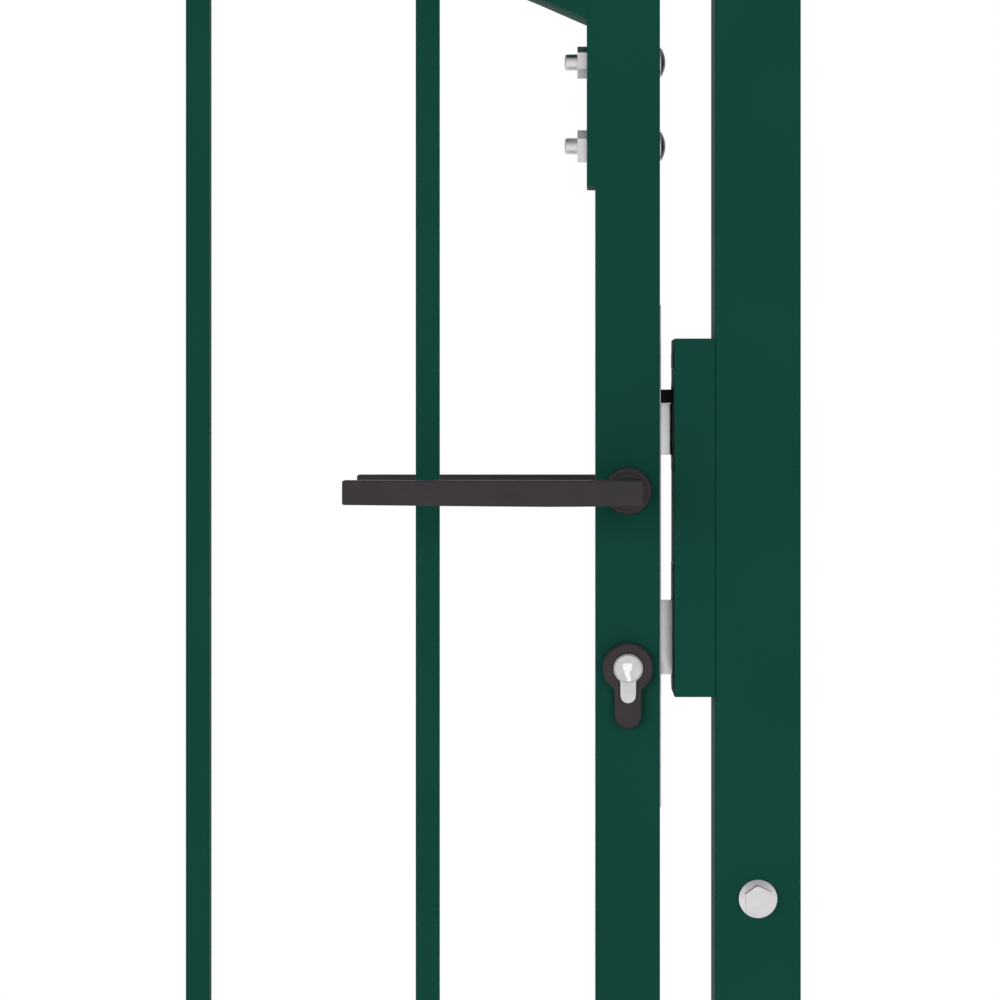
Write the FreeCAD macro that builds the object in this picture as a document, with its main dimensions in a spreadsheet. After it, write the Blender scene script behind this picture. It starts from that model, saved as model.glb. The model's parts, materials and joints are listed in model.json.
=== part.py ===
import FreeCAD
import Part
import Sketcher

import os
import re

# A swing fence gate of green coated steel tube: two square posts, an arched leaf of welded bars
# whose rails are bolted between two stiles, a mortise lock with levers, and the keep on the post.
# The origin is the middle of the hinge post's foot. +X runs to the latch post, +Y away from the
# front of the gate, +Z up. All sizes are millimetres.

SIZES = {
    # posts
    "post_side": 40,
    "post_wall": 1.5,
    "post_rise": 90,
    "post_corner": 1.2,
    "foot_thick": 3,
    "cap_thick": 3,
    "cap_plug_depth": 12,
    "cap_plug_wall": 2,
    "cap_fit": 0.2,
    # gaps across the opening
    "hinge_gap": 50,
    "pin_offset": 25,
    "latch_gap": 25.4,
    # leaf frame
    "stile_side": 30,
    "stile_wall": 1.5,
    "stile_corner": 1,
    "leaf_bottom": 60,
    "stile_length": 1100,
    "spring_drop": 39.5,
    "arch_rise": 86,
    # infill bars
    "bar_side": 11,
    "bar_wall": 1,
    "bar_corner": 0.6,
    "bar_pitch": 108,
    "bar_end_gap": 79,
    "bar_count": 7,
    # plates that bolt the rails to the stiles
    "plate_thick": 4,
    "top_plate_drop": 4,
    "top_plate_length": 113.8,
    "bottom_plate_length": 110,
    "bolt_inset": 19.8,
    "bolt_spacing": 39.5,
    # frame bolts and nuts
    "frame_bolt_radius": 4,
    "bolt_hole_fit": 0.05,
    "button_radius": 7,
    "button_height": 3,
    "nut_radius": 7.6,
    "nut_height": 4.5,
    "thread_end": 6,
    # post bolts
    "post_bolt_height": 710.5,
    "post_bolt_radius": 4,
    "flange_radius": 9,
    "flange_thick": 2,
    "hex_radius": 7.4,
    "hex_height": 5,
    "post_nut_thick": 7,
    # hinges
    "hinge_low_inset": 155,
    "hinge_high_inset": 175,
    "pin_radius": 6,
    "pin_fit": 0.06,
    "pin_above_eye": 4,
    "eye_radius": 13,
    "eye_height": 18,
    "eye_rest_gap": 0.3,
    "shank_radius": 6,
    "hinge_nut_radius": 10.5,
    "hinge_nut_thick": 8,
    "boss_radius": 11,
    "boss_height": 20,
    "shank_fit": 0.05,
    "shank_end": 5,
    # lock heights, from the handle's axis
    "handle_drop": 260,
    "cylinder_drop": 82.4,
    "latch_lift": 16.8,
    "latch_height": 24,
    "guide_height": 6.4,
    "guide_gap": 0.2,
    "dead_drop": 86.4,
    "dead_height": 34.5,
    # lock case and faceplate
    "face_drop": 148,
    "face_height": 235,
    "face_width": 22,
    "face_thick": 2.4,
    "face_proud": 0.6,
    "face_fit": 0.1,
    "case_margin": 14,
    "case_thick": 22,
    "case_wall": 1.5,
    "case_back_gap": 1,
    # bolts of the lock
    "latch_thick": 12,
    "latch_reach": 14.5,
    "latch_travel": 13.5,
    "latch_tail": 9,
    "latch_land": 2,
    "guide_reach": 7.5,
    "dead_thick": 10,
    "dead_reach": 8.6,
    "dead_travel": 7.8,
    "dead_tail": 14,
    "cylinder_relief": 0.5,
    "bolt_play": 0.3,
    # levers
    "lever_section": 12,
    "lever_stand": 45,
    "lever_reach": 130.5,
    "spindle_side": 8,
    "spindle_depth": 30,
    "spindle_hole_radius": 8,
    "socket_fit": 0.1,
    "root_radius": 8,
    "root_proud": 2,
    "root_gap": 0.3,
    # rosettes
    "rosette_radius": 11,
    "rosette_thick": 5,
    "rosette_neck_fit": 0.4,
    "guard_radius": 11.8,
    "guard_thick": 5,
    "guard_leg_width": 12.8,
    "guard_drop": 28.3,
    # profile cylinder
    "head_radius": 6.9,
    "leg_width": 7.4,
    "leg_drop": 16.2,
    "cylinder_fit": 0.15,
    "cylinder_proud": 1.5,
    "plug_radius": 6.3,
    "plug_fit": 0.08,
    "plug_proud": 0.2,
    "keyway_width": 1.8,
    "keyway_top": 2.3,
    "keyway_depth": 9,
    # keep on the latch post
    "keep_drop": 95.8,
    "keep_height": 166.9,
    "keep_thick": 19,
    "keep_wall": 2,
    "insert_proud": 0.8,
    "insert_fit": 0.1,
    "insert_low_inset": 3,
    "insert_high_inset": 6,
    "insert_width": 26,
    "insert_play": 1.2,
}

# Places and sizes that follow from the ones above.
DERIVED = {
    "post_half": "post_side / 2",
    "stile_half": "stile_side / 2",
    "leaf_left": "post_half + hinge_gap",
    "leaf_width": "2 * stile_side + 2 * bar_end_gap + (bar_count - 1) * bar_pitch",
    "leaf_right": "leaf_left + leaf_width",
    "leaf_top": "leaf_bottom + stile_length",
    "post_height": "leaf_top + post_rise",
    "lock_x": "leaf_right - stile_half",
    "opening_left": "leaf_left + stile_side",
    "opening_right": "leaf_right - stile_side",
    "post_left": "leaf_right + latch_gap",
    "latch_post_x": "post_left + post_half",
    "rail_spring": "leaf_top - spring_drop",
    "rail_left": "opening_left + plate_thick",
    "rail_right": "opening_right - plate_thick",
    "rail_middle": "(rail_left + rail_right) / 2",
    "rail_half": "(rail_right - rail_left) / 2",
    "arch_radius": "(rail_half * rail_half + arch_rise * arch_rise) / (2 * arch_rise)",
    "arch_centre": "rail_spring + arch_rise - arch_radius",
    "bars_from": "opening_left + bar_end_gap",
    "hinge_x": "post_half + pin_offset",
    "hinge_low": "leaf_bottom + hinge_low_inset",
    "hinge_high": "leaf_top - hinge_high_inset",
    "top_plate_low": "leaf_top - top_plate_drop - top_plate_length",
    "top_bolt_low": "top_plate_low + bolt_inset",
    "dome_radius": "(button_radius * button_radius / button_height + button_height) / 2",
    "bottom_plate_top": "leaf_bottom + bottom_plate_length",
    "bottom_bolt_low": "bottom_plate_top - bolt_inset - bolt_spacing",
    "handle_axis": "leaf_top - handle_drop",
    "cylinder_axis": "handle_axis - cylinder_drop",
    "latch_low": "handle_axis + latch_lift",
    "dead_low": "handle_axis - dead_drop",
    "face_low": "handle_axis - face_drop",
    "keep_low": "handle_axis - keep_drop",
    "face_outer": "leaf_right + face_proud",
    "case_left": "opening_right + stile_wall + case_back_gap",
    "case_right": "face_outer - face_thick",
    "case_low": "face_low + case_margin",
    "case_height": "face_height - 2 * case_margin",
    "case_half": "case_thick / 2",
    "lever_outer": "stile_half + lever_stand",
    "guard_outer": "stile_half + guard_thick",
    "cylinder_outer": "guard_outer + cylinder_proud",
    "plug_outer": "cylinder_outer + plug_proud",
    "keep_left": "post_left - keep_thick",
    "insert_low": "keep_low + insert_low_inset",
    "insert_height": "keep_height - insert_low_inset - insert_high_inset",
    "guide_low": "latch_low + latch_height + guide_gap",
}

doc = FreeCAD.newDocument("SwingFenceGate")
sheet = doc.addObject("Spreadsheet::Sheet", "Sizes")
for row, (size_name, size_value) in enumerate(SIZES.items(), start=1):
    sheet.set(f"A{row}", size_name)
    sheet.set(f"B{row}", str(size_value))
    sheet.setAlias(f"B{row}", size_name)
doc.recompute()

nodes = []


def formula(text):
    """Write a formula of named sizes as an expression on the sheet."""
    def named(match):
        word = match.group(0)
        if word in SIZES:
            return "Sizes." + word
        if word in DERIVED:
            return "(" + formula(DERIVED[word]) + ")"
        return word
    return re.sub(r"[a-z][a-z_]+", named, str(text))


def bind(thing, **formulas):
    """Bind properties of an object to formulas of named sizes."""
    for name, text in formulas.items():
        thing.setExpression(name, formula(text))
    return thing


def put(thing, x=0, y=0, z=0):
    """Bind an object's place to formulas of named sizes."""
    for axis, text in zip("xyz", (x, y, z)):
        thing.setExpression("Placement.Base." + axis, formula(text))
    return thing


def keep_node(label, thing):
    """Name an object as a finished sub-part of the gate."""
    thing.Label = label
    nodes.append((label, thing))
    return thing


def block(name, x, y, z, dx, dy, dz):
    """A block from its lowest corner and its three lengths."""
    box = doc.addObject("Part::Box", name)
    bind(box, Length=dx, Width=dy, Height=dz)
    return put(box, x, y, z)


TURNS = {
    "x": FreeCAD.Rotation(FreeCAD.Vector(0, 1, 0), 90),
    "y": FreeCAD.Rotation(FreeCAD.Vector(1, 0, 0), -90),
    "z": FreeCAD.Rotation(),
}


def rod(name, axis, x, y, z, radius, length):
    """A round rod that starts at a point and runs along +X, +Y or +Z."""
    cylinder = doc.addObject("Part::Cylinder", name)
    cylinder.Placement.Rotation = TURNS[axis]
    bind(cylinder, Radius=radius, Height=length)
    return put(cylinder, x, y, z)


def hexagon(name, axis, x, y, z, radius, length):
    """A hexagonal prism, measured to its corners, with one corner up."""
    prism = doc.addObject("Part::Prism", name)
    prism.Polygon = 6
    spin = 0 if axis == "x" else 90
    corner_up = FreeCAD.Rotation(FreeCAD.Vector(0, 0, 1), spin)
    prism.Placement.Rotation = TURNS[axis].multiply(corner_up)
    bind(prism, Circumradius=radius, Height=length)
    return put(prism, x, y, z)


def fuse(name, *things):
    """Join solids into one."""
    joined = doc.addObject("Part::MultiFuse", name)
    joined.Shapes = list(things)
    joined.Refine = True
    return joined


def group(name, *things):
    """Hold solids that do not touch in one sub-part."""
    held = doc.addObject("Part::Compound", name)
    held.Links = list(things)
    return held


def cut(name, base, *tools):
    """Take one or more solids out of another."""
    tool = tools[0]
    if len(tools) > 1:
        tool = doc.addObject("Part::MultiFuse", name + "Tools")
        tool.Shapes = list(tools)
    result = doc.addObject("Part::Cut", name)
    result.Base = base
    result.Tool = tool
    return result


def common(name, first, second):
    """Keep what two solids share."""
    result = doc.addObject("Part::Common", name)
    result.Base = first
    result.Tool = second
    return result


def add_square(sketch, side):
    """Draw a square about the sketch's origin, its side bound to a named size."""
    first = sketch.GeometryCount
    corners = [(-5, -5), (5, -5), (5, 5), (-5, 5)]
    for start, end in zip(corners, corners[1:] + corners[:1]):
        line = Part.LineSegment(FreeCAD.Vector(*start, 0), FreeCAD.Vector(*end, 0))
        sketch.addGeometry(line, False)
    for step in range(4):
        next_line = first + (step + 1) % 4
        kind = "Horizontal" if step % 2 == 0 else "Vertical"
        sketch.addConstraint(Sketcher.Constraint("Coincident", first + step, 2, next_line, 1))
        sketch.addConstraint(Sketcher.Constraint(kind, first + step))
    sketch.addConstraint(Sketcher.Constraint("Symmetric", first, 1, first + 2, 1, -1, 1))
    for kind, line in (("DistanceX", first), ("DistanceY", first + 1)):
        index = sketch.addConstraint(Sketcher.Constraint(kind, line, 1, line, 2, 10.0))
        sketch.setExpression(f"Constraints[{index}]", formula(side))


def square_tube(name, side, wall, corner, length):
    """A square tube with rolled outer corners, standing on the origin."""
    body = doc.addObject("PartDesign::Body", name)
    plane = [p for p in body.Origin.OriginFeatures if p.Role == "XY_Plane"][0]
    section = body.newObject("Sketcher::SketchObject", name + "Section")
    section.AttachmentSupport = [(plane, "")]
    section.MapMode = "FlatFace"
    add_square(section, side)
    add_square(section, f"{side} - 2 * {wall}")
    pad = body.newObject("PartDesign::Pad", name + "Length")
    pad.Profile = section
    bind(pad, Length=length)
    doc.recompute()
    reach = pad.Shape.BoundBox.XMax - 0.01
    edges = []
    for index, edge in enumerate(pad.Shape.Edges, start=1):
        first, last = edge.Vertexes[0].Point, edge.Vertexes[-1].Point
        upright = abs(first.x - last.x) < 0.01 and abs(first.y - last.y) < 0.01
        if upright and abs(first.x) > reach and abs(first.y) > reach:
            edges.append(f"Edge{index}")
    fillet = body.newObject("PartDesign::Fillet", name + "Corners")
    fillet.Base = (pad, edges)
    bind(fillet, Radius=corner)
    body.Tip = fillet
    return body


# Posts: square tubes that stand in the ground, drilled for the hinge pins and the post bolts.
# Each is closed at the ground line, where the real one runs on into its footing.


def post(name, x):
    """A post's tube with the plate that closes it at the ground line."""
    tube = square_tube(name + "Tube", "post_side", "post_wall", "post_corner", "post_height")
    put(tube, x)
    bore = "(post_side - 2 * post_wall)"
    foot = block(name + "Foot", f"{x} - {bore} / 2", f"0 - {bore} / 2", 0, bore, bore,
                 "foot_thick")
    return fuse(name + "Solid", tube, foot)


def bolt_hole(name, x):
    """The hole through a post for its flange bolt."""
    return rod(name, "y", x, "0 - post_side", "post_bolt_height",
               "post_bolt_radius + bolt_hole_fit", "2 * post_side")


pin_holes = [
    rod(f"PinHole{count}", "x", "0 - post_side", 0, level, "shank_radius + shank_fit",
        "2 * post_side")
    for count, level in enumerate(("hinge_low", "hinge_high"))
]
keep_node("hinge_post", cut("HingePost", post("HingePost", "0"),
                            bolt_hole("HingePostBoltHole", "0"), *pin_holes))
keep_node("latch_post", cut("LatchPost", post("LatchPost", "latch_post_x"),
                            bolt_hole("LatchPostBoltHole", "latch_post_x")))


def tube_cap(name, x, z, side, wall):
    """A flat plastic cap with a hollow plug that presses into a square tube."""
    half = f"{side} / 2"
    plug = f"({half} - {wall} - cap_fit)"
    lid = block(name + "Lid", f"{x} - {half}", f"0 - {half}", z, side, side, "cap_thick")
    outer = block(name + "Plug", f"{x} - {plug}", f"0 - {plug}", f"{z} - cap_plug_depth",
                  f"2 * {plug}", f"2 * {plug}", "cap_plug_depth + cap_thick / 2")
    inner = block(name + "Hollow", f"{x} - {plug} + cap_plug_wall",
                  f"0 - {plug} + cap_plug_wall", f"{z} - 2 * cap_plug_depth",
                  f"2 * ({plug} - cap_plug_wall)", f"2 * ({plug} - cap_plug_wall)",
                  "2 * cap_plug_depth")
    return cut(name, fuse(name + "Solid", lid, outer), inner)


keep_node("hinge_post_cap", tube_cap("HingeCap", "0", "post_height", "post_side", "post_wall"))
keep_node("latch_post_cap", tube_cap("LatchCap", "latch_post_x", "post_height", "post_side",
                                     "post_wall"))


def flange_bolt(name, x):
    """A flange bolt through a post, its head in front and its nut behind."""
    front = "(0 - post_half)"
    flange = rod(name + "Flange", "y", x, f"{front} - flange_thick", "post_bolt_height",
                 "flange_radius", "flange_thick")
    head = hexagon(name + "Head", "y", x, f"{front} - flange_thick - hex_height",
                   "post_bolt_height", "hex_radius", "hex_height")
    shank = rod(name + "Shank", "y", x, f"{front} - flange_thick", "post_bolt_height",
                "post_bolt_radius", "post_side + flange_thick + post_nut_thick + thread_end / 2")
    nut = hexagon(name + "Nut", "y", x, "post_half", "post_bolt_height", "hex_radius",
                  "post_nut_thick")
    return fuse(name, flange, head, shank, nut)


keep_node("hinge_post_bolt", flange_bolt("HingePostBolt", "0"))
keep_node("latch_post_bolt", flange_bolt("LatchPostBolt", "latch_post_x"))

# Hinges: a bolt through the post carries an upright pin, and an eye bolt on the leaf turns on it.


def gudgeon(name, level):
    """The bolt with the upright pin, and the nut that holds it behind the post."""
    far_end = "(0 - post_half - hinge_nut_thick - shank_end)"
    shank = rod(name + "Shank", "x", far_end, 0, level, "shank_radius",
                f"hinge_x - {far_end}")
    boss = rod(name + "Boss", "z", "hinge_x", 0, f"{level} - boss_height / 2", "boss_radius",
               "boss_height")
    pin = rod(name + "Pin", "z", "hinge_x", 0, level, "pin_radius",
              "boss_height / 2 + eye_rest_gap + eye_height + pin_above_eye")
    collar = hexagon(name + "Collar", "x", "post_half", 0, level, "hinge_nut_radius",
                     "hinge_nut_thick / 2")
    nut = hexagon(name + "Nut", "x", "0 - post_half - hinge_nut_thick", 0, level,
                  "hinge_nut_radius", "hinge_nut_thick")
    return fuse(name, shank, boss, pin, collar, nut)


def eye_bolt(name, level):
    """The eye on the leaf, its shank through the stile and a nut on each side."""
    eye_low = f"({level} + boss_height / 2 + eye_rest_gap)"
    middle = f"({eye_low} + eye_height / 2)"
    ring = rod(name + "Ring", "z", "hinge_x", 0, eye_low, "eye_radius", "eye_height")
    shank = rod(name + "Shank", "x", "hinge_x", 0, middle, "shank_radius",
                "leaf_left - hinge_x + stile_side + hinge_nut_thick + shank_end")
    outer_nut = hexagon(name + "OuterNut", "x", "leaf_left - hinge_nut_thick", 0, middle,
                        "hinge_nut_radius", "hinge_nut_thick")
    inner_nut = hexagon(name + "InnerNut", "x", "opening_left", 0, middle,
                        "hinge_nut_radius", "hinge_nut_thick")
    bore = rod(name + "Bore", "z", "hinge_x", 0, f"{eye_low} - eye_height",
               "pin_radius + pin_fit", "3 * eye_height")
    return cut(name, fuse(name + "Solid", ring, shank, outer_nut, inner_nut), bore)


for label, level in (("lower", "hinge_low"), ("upper", "hinge_high")):
    keep_node(f"{label}_hinge_pin", gudgeon(label.title() + "Gudgeon", level))
    keep_node(f"{label}_hinge_eye", eye_bolt(label.title() + "Eye", level))

# Stiles: the hinge stile is drilled for the eye bolts, both for the frame bolts.
BOLT_LEVELS = ("top_bolt_low", "top_bolt_low + bolt_spacing", "bottom_bolt_low",
               "bottom_bolt_low + bolt_spacing")


def stile_tube(name, x):
    """A stile's tube on its centre line."""
    tube = square_tube(name, "stile_side", "stile_wall", "stile_corner", "stile_length")
    return put(tube, x, 0, "leaf_bottom")


def frame_bolt_holes(name, x):
    """The four holes across a stile for the frame bolts."""
    return [
        rod(f"{name}{count}", "x", x, 0, level, "frame_bolt_radius + bolt_hole_fit",
            "3 * stile_side")
        for count, level in enumerate(BOLT_LEVELS)
    ]


eye_holes = [
    rod(f"EyeHole{count}", "x", "leaf_left - stile_side", 0,
        f"{level} + boss_height / 2 + eye_rest_gap + eye_height / 2",
        "shank_radius + shank_fit", "3 * stile_side")
    for count, level in enumerate(("hinge_low", "hinge_high"))
]
keep_node("hinge_stile", cut("HingeStile", stile_tube("HingeStileTube", "leaf_left + stile_half"),
                             *frame_bolt_holes("HingeStileHole", "leaf_left - stile_side"),
                             *eye_holes))


def profile_shape(name, y, length, radius, width, drop, clear="0"):
    """A keyhole outline about the cylinder's axis: a round head over a straight round-ended leg."""
    head = rod(name + "Head", "y", "lock_x", y, "cylinder_axis", f"{radius} + {clear}", length)
    half = f"({width} / 2 + {clear})"
    leg = block(name + "Leg", f"lock_x - {half}", y, f"cylinder_axis - {drop} + {width} / 2",
                f"2 * {half}", length, f"{drop} - {width} / 2")
    foot = rod(name + "Foot", "y", "lock_x", y, f"cylinder_axis - {drop} + {width} / 2", half,
               length)
    return fuse(name, head, leg, foot)


ACROSS = ("0 - stile_side", "2 * stile_side")


def spindle_hole(name):
    """The round way through the stile and the case in which the spindle turns."""
    return rod(name, "y", "lock_x", ACROSS[0], "handle_axis", "spindle_hole_radius", ACROSS[1])


def cylinder_hole(name):
    """The way through the stile and the case for the profile cylinder."""
    return profile_shape(name, *ACROSS, "head_radius", "leg_width", "leg_drop", "cylinder_fit")


face_slot = block("FaceSlot", "case_right - face_fit", "0 - face_width / 2 - face_fit",
                  "face_low - face_fit", "stile_side", "face_width + 2 * face_fit",
                  "face_height + 2 * face_fit")
keep_node("lock_stile", cut("LockStile", stile_tube("LockStileTube", "lock_x"),
                            *frame_bolt_holes("LockStileHole", "opening_right - stile_side"),
                            face_slot, spindle_hole("StileSpindleHole"),
                            cylinder_hole("StileCylinderHole")))
keep_node("hinge_stile_cap", tube_cap("HingeStileCap", "(leaf_left + stile_half)", "leaf_top",
                                      "stile_side", "stile_wall"))
keep_node("lock_stile_cap", tube_cap("LockStileCap", "(lock_x)", "leaf_top", "stile_side",
                                     "stile_wall"))

# Rails: the top one is bent to an arch, the bottom one is straight, and both end on bolted plates.


def arch_band(name, inset):
    """The arched rail's solid, its faces moved in by an inset."""
    outer = rod(name + "Outer", "y", "rail_middle", f"0 - stile_half + {inset}", "arch_centre",
                f"arch_radius + stile_side - {inset}", f"stile_side - 2 * {inset}")
    inner = rod(name + "Inner", "y", "rail_middle", "0 - stile_side", "arch_centre",
                f"arch_radius + {inset}", "2 * stile_side")
    window = block(name + "Window", "rail_left", "0 - stile_side", "rail_spring",
                   "rail_right - rail_left", "2 * stile_side", "4 * arch_rise")
    return common(name, cut(name + "Ring", outer, inner), window)


def arch_bore():
    """The hollow of the arched rail, from end to end."""
    return arch_band("ArchBore", "stile_wall")


keep_node("top_rail", cut("TopRail", arch_band("ArchBand", "0"), arch_bore()))

bottom_tube = square_tube("BottomTube", "stile_side", "stile_wall", "stile_corner",
                          "rail_right - rail_left")
bottom_tube.Placement.Rotation = TURNS["x"]
put(bottom_tube, "rail_left", 0, "leaf_bottom + stile_half")
keep_node("bottom_rail", bottom_tube)


def end_plate(name, x, low, length, bolt_low):
    """A flat plate welded to a rail's end, with two holes for the frame bolts."""
    plate = block(name + "Flat", x, "0 - stile_half", low, "plate_thick", "stile_side", length)
    holes = [
        rod(f"{name}Hole{step}", "x", f"{x} - plate_thick", 0,
            f"{bolt_low} + {step} * bolt_spacing", "frame_bolt_radius + bolt_hole_fit",
            "3 * plate_thick")
        for step in range(2)
    ]
    return cut(name, plate, *holes)


PLATE_SIDES = (("Hinge", "opening_left"), ("Lock", "rail_right"))
for label, low, length, bolt_low in (
        ("top", "top_plate_low", "top_plate_length", "top_bolt_low"),
        ("bottom", "leaf_bottom", "bottom_plate_length", "bottom_bolt_low")):
    for side, x in PLATE_SIDES:
        keep_node(f"{label}_{side.lower()}_plate",
                  end_plate(label.title() + side + "Plate", x, low, length, bolt_low))


def frame_bolt(name, side, level):
    """A domed bolt through a stile and an end plate, with its nut inside the frame."""
    if side == "Lock":
        shank_from = "rail_right - nut_height - thread_end"
        nut_from = "rail_right - nut_height"
        head_from = "leaf_right"
        ball_centre = "leaf_right + button_height - dome_radius"
    else:
        shank_from = "leaf_left"
        nut_from = "rail_left"
        head_from = "leaf_left - button_height"
        ball_centre = "leaf_left - button_height + dome_radius"
    shank = rod(name + "Shank", "x", shank_from, 0, level, "frame_bolt_radius",
                "stile_side + plate_thick + nut_height + thread_end")
    nut = hexagon(name + "Nut", "x", nut_from, 0, level, "nut_radius", "nut_height")
    ball = doc.addObject("Part::Sphere", name + "Ball")
    bind(ball, Radius="dome_radius")
    put(ball, ball_centre, 0, level)
    slab = rod(name + "Slab", "x", head_from, 0, level, "button_radius", "button_height")
    return fuse(name, shank, nut, common(name + "Dome", ball, slab))


for row, levels in (("top", BOLT_LEVELS[:2]), ("bottom", BOLT_LEVELS[2:])):
    for side in ("Hinge", "Lock"):
        pair = [frame_bolt(f"{row.title()}{side}Bolt{count}", side, level)
                for count, level in enumerate(levels)]
        keep_node(f"{row}_{side.lower()}_bolts", group(f"{row.title()}{side}Bolts", *pair))

# Bars: square tubes from the bottom rail up to the arch, cut to its curve.
under_arch = rod("UnderArch", "y", "rail_middle", "0 - stile_side", "arch_centre", "arch_radius",
                 "2 * stile_side")
for count in range(SIZES["bar_count"]):
    tube = square_tube(f"BarTube{count + 1}", "bar_side", "bar_wall", "bar_corner",
                       "rail_spring + arch_rise - leaf_bottom")
    put(tube, f"bars_from + {count} * bar_pitch", 0, "leaf_bottom + stile_side")
    keep_node(f"bar_{count + 1}", common(f"Bar{count + 1}", tube, under_arch))

# Lock: a steel case in the stile behind a narrow faceplate.
case_outer = block("CaseOuter", "case_left", "0 - case_half", "case_low",
                   "case_right - case_left", "case_thick", "case_height")
case_inner = block("CaseInner", "case_left + case_wall", "0 - case_half + case_wall",
                   "case_low + case_wall", "case_right - case_left - 2 * case_wall",
                   "case_thick - 2 * case_wall", "case_height - 2 * case_wall")


def bolt_window(name, thick, low, height):
    """The window through the case front and the faceplate for one of the bolts."""
    return block(name, "case_right - 2 * case_wall", f"0 - {thick} / 2 - bolt_play",
                 f"{low} - bolt_play", "4 * case_wall + 2 * face_thick",
                 f"{thick} + 2 * bolt_play", f"{height} + 2 * bolt_play")


LATCH_WAY = ("latch_thick", "latch_low", "latch_height + guide_gap + guide_height")
DEAD_WAY = ("dead_thick", "dead_low", "dead_height")
keep_node("lock_case", cut("LockCase", case_outer, case_inner,
                           bolt_window("CaseLatchWindow", *LATCH_WAY),
                           bolt_window("CaseDeadWindow", *DEAD_WAY),
                           spindle_hole("CaseSpindleHole"), cylinder_hole("CaseCylinderHole")))
face_flat = block("FaceFlat", "case_right", "0 - face_width / 2", "face_low", "face_thick",
                  "face_width", "face_height")
keep_node("lock_faceplate", cut("Faceplate", face_flat,
                                bolt_window("FaceLatchWindow", *LATCH_WAY),
                                bolt_window("FaceDeadWindow", *DEAD_WAY)))

# Latch: a bolt with a bevelled nose, and the dark guide block that moves over it.
latch_block = block("LatchBlock", "face_outer - latch_tail", "0 - latch_thick / 2", "latch_low",
                    "latch_tail + latch_reach", "latch_thick", "latch_height")
bevel = block("LatchBevel", "face_outer + latch_reach + latch_land - latch_thick",
              "0 - latch_thick / 2", "latch_low - latch_height", "2 * latch_thick",
              "2 * latch_thick", "3 * latch_height")
bevel.Placement.Rotation = FreeCAD.Rotation(FreeCAD.Vector(0, 0, 1), -45)
keep_node("latch_bolt", cut("LatchBolt", latch_block, bevel))
keep_node("latch_guide", block("LatchGuide", "face_outer - latch_tail", "0 - latch_thick / 2",
                               "guide_low", "latch_tail + guide_reach", "latch_thick",
                               "guide_height"))

# Dead bolt: its back is hollowed to clear the cylinder when drawn back, with a tail above that.
dead_head = block("DeadHead", "lock_x + dead_travel", "0 - dead_thick / 2", "dead_low",
                  "face_outer + dead_reach - lock_x - dead_travel", "dead_thick", "dead_height")
dead_relief = rod("DeadRelief", "y", "lock_x + dead_travel", "0 - dead_thick", "cylinder_axis",
                  "head_radius + cylinder_relief", "2 * dead_thick")
dead_tail = block("DeadTail", "face_outer - dead_tail", "0 - dead_thick / 2",
                  "cylinder_axis + head_radius + cylinder_relief", "dead_tail", "dead_thick",
                  "dead_low + dead_height - cylinder_axis - head_radius - cylinder_relief")
keep_node("dead_bolt", fuse("DeadBolt", cut("DeadNose", dead_head, dead_relief), dead_tail))


def lever(name, front):
    """A straight square lever: a round root in its rosette, a neck and a grip to the left."""
    half = "lever_section / 2"
    if front:
        neck_from = "0 - lever_outer"
        grip_from = "0 - lever_outer"
        root_from = "0 - stile_half - rosette_thick - root_proud"
        socket_from = "0 - stile_half - spindle_depth - socket_fit"
    else:
        neck_from = "stile_half + rosette_thick + root_proud / 2"
        grip_from = "lever_outer - lever_section"
        root_from = "stile_half + root_gap"
        socket_from = "0"
    neck_long = "lever_stand - rosette_thick - root_proud / 2"
    neck = block(name + "Neck", f"lock_x - {half}", neck_from, f"handle_axis - {half}",
                 "lever_section", neck_long, "lever_section")
    grip = block(name + "Grip", "lock_x - lever_reach", grip_from, f"handle_axis - {half}",
                 f"lever_reach + {half}", "lever_section", "lever_section")
    root = rod(name + "Root", "y", "lock_x", root_from, "handle_axis", "root_radius",
               "rosette_thick + root_proud - root_gap")
    socket_half = "(spindle_side / 2 + socket_fit)"
    socket = block(name + "Socket", f"lock_x - {socket_half}", socket_from,
                   f"handle_axis - {socket_half}", f"2 * {socket_half}",
                   "stile_half + spindle_depth + socket_fit", f"2 * {socket_half}")
    return cut(name, fuse(name + "Solid", neck, grip, root), socket)


keep_node("front_lever", lever("FrontLever", True))
keep_node("rear_lever", lever("RearLever", False))
keep_node("spindle", block("Spindle", "lock_x - spindle_side / 2",
                           "0 - stile_half - spindle_depth", "handle_axis - spindle_side / 2",
                           "spindle_side", "2 * (stile_half + spindle_depth)", "spindle_side"))

# Rosettes: a round one at each lever, a keyhole-shaped one at each end of the cylinder.
for label, round_y, guard_y in (
        ("front", "0 - stile_half - rosette_thick", "0 - guard_outer"),
        ("rear", "stile_half", "stile_half")):
    title = label.title()
    disc = rod(title + "Disc", "y", "lock_x", round_y, "handle_axis", "rosette_radius",
               "rosette_thick")
    eye = rod(title + "DiscEye", "y", "lock_x", "0 - 2 * stile_side", "handle_axis",
              "root_radius + rosette_neck_fit", "4 * stile_side")
    keep_node(f"{label}_handle_rosette", cut(title + "Rosette", disc, eye))
    guard = profile_shape(title + "Guard", guard_y, "guard_thick", "guard_radius",
                          "guard_leg_width", "guard_drop")
    guard_eye = profile_shape(title + "GuardEye", "0 - 2 * stile_side", "4 * stile_side",
                              "head_radius", "leg_width", "leg_drop", "cylinder_fit")
    keep_node(f"{label}_cylinder_rosette", cut(title + "GuardPlate", guard, guard_eye))

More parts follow.
